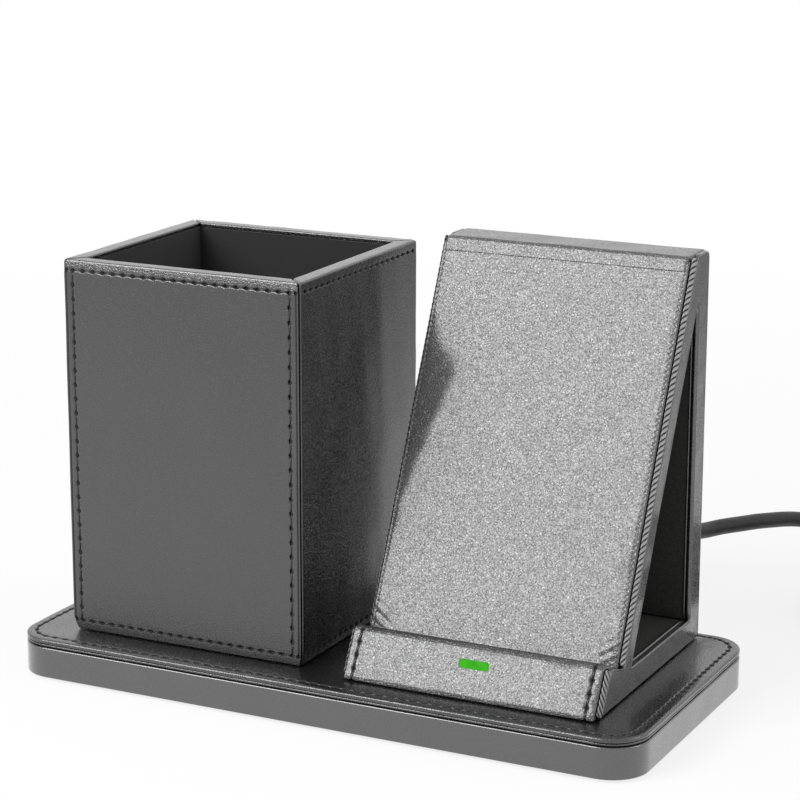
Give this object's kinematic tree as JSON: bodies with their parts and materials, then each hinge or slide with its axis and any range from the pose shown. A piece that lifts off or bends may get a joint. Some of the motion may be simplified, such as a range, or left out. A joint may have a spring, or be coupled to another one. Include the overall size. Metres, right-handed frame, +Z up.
{
  "type": "wireless charger pen holder",
  "caption": "Leather-covered desk caddy: square pen box and leaning wireless phone charging stand side by side on a rounded base, with a charging cable.",
  "frame": {"origin": "on the table, under the middle of the base", "axes": "+X to the right along the base's width, from the pen box to the phone stand; +Y to the back; +Z up"},
  "size_m": [0.2913, 0.2179, 0.131],
  "materials": {
    "black_leatherette": "satin, fine grain, stitched edges",
    "smooth_leatherette": "satin, smooth",
    "lining_cloth": "matt short nap",
    "fibreboard": "raw fibreboard",
    "rubber": "matt",
    "black_plastic": "moulded, satin",
    "cord_jacket": "smooth satin",
    "steel": "plated",
    "copper_winding": "enamelled copper",
    "ferrite": "matt ceramic",
    "circuit_board": "green solder mask",
    "green_light": "lit diffuser"
  },
  "bodies": {
    "root": {"base_board": "fibreboard", "base_top_cover": "black_leatherette", "base_side_band": "smooth_leatherette", "base_bottom_lining": "lining_cloth", "foot_front_left": "rubber", "foot_front_right": "rubber", "foot_back_left": "rubber", "foot_back_right": "rubber", "box_front_cover": "black_leatherette", "box_back_cover": "black_leatherette", "box_left_cover": "black_leatherette", "box_right_cover": "black_leatherette", "box_front_board": "fibreboard", "box_back_board": "fibreboard", "box_left_board": "fibreboard", "box_right_board": "fibreboard", "box_floor_board": "fibreboard", "box_floor_lining": "lining_cloth", "box_wall_lining": "lining_cloth", "lip_cover": "black_leatherette", "lip_core": "fibreboard", "stand_floor_board": "fibreboard", "stand_floor_lining": "black_leatherette", "stand_floor_left_side": "black_leatherette", "stand_floor_right_side": "black_leatherette", "panel_front_cover": "black_leatherette", "panel_board": "fibreboard", "panel_rear_cover": "black_leatherette", "panel_left_edge": "black_leatherette", "panel_right_edge": "black_leatherette", "back_outer_cover": "black_leatherette", "back_board": "fibreboard", "back_inner_lining": "black_leatherette", "back_left_edge": "black_leatherette", "back_right_edge": "black_leatherette", "stand_top_cap": "black_leatherette", "transmitter_coil": "copper_winding", "ferrite_shield": "ferrite", "charger_circuit_board": "circuit_board", "light_window": "green_light", "light_board": "circuit_board", "charging_socket": "black_plastic", "inner_lead": "cord_jacket", "box_screw_left": "steel", "box_screw_right": "steel", "stand_screw_front": "steel", "stand_screw_back": "steel", "stand_plug_tongue": "steel", "stand_plug_body": "black_plastic", "stand_plug_relief": "black_plastic", "cable_run": "cord_jacket", "cable_coil": "cord_jacket", "far_plug_relief": "black_plastic", "far_plug_body": "black_plastic", "far_plug_shell": "steel", "far_plug_contacts": "black_plastic"}
  },
  "joints": []
}
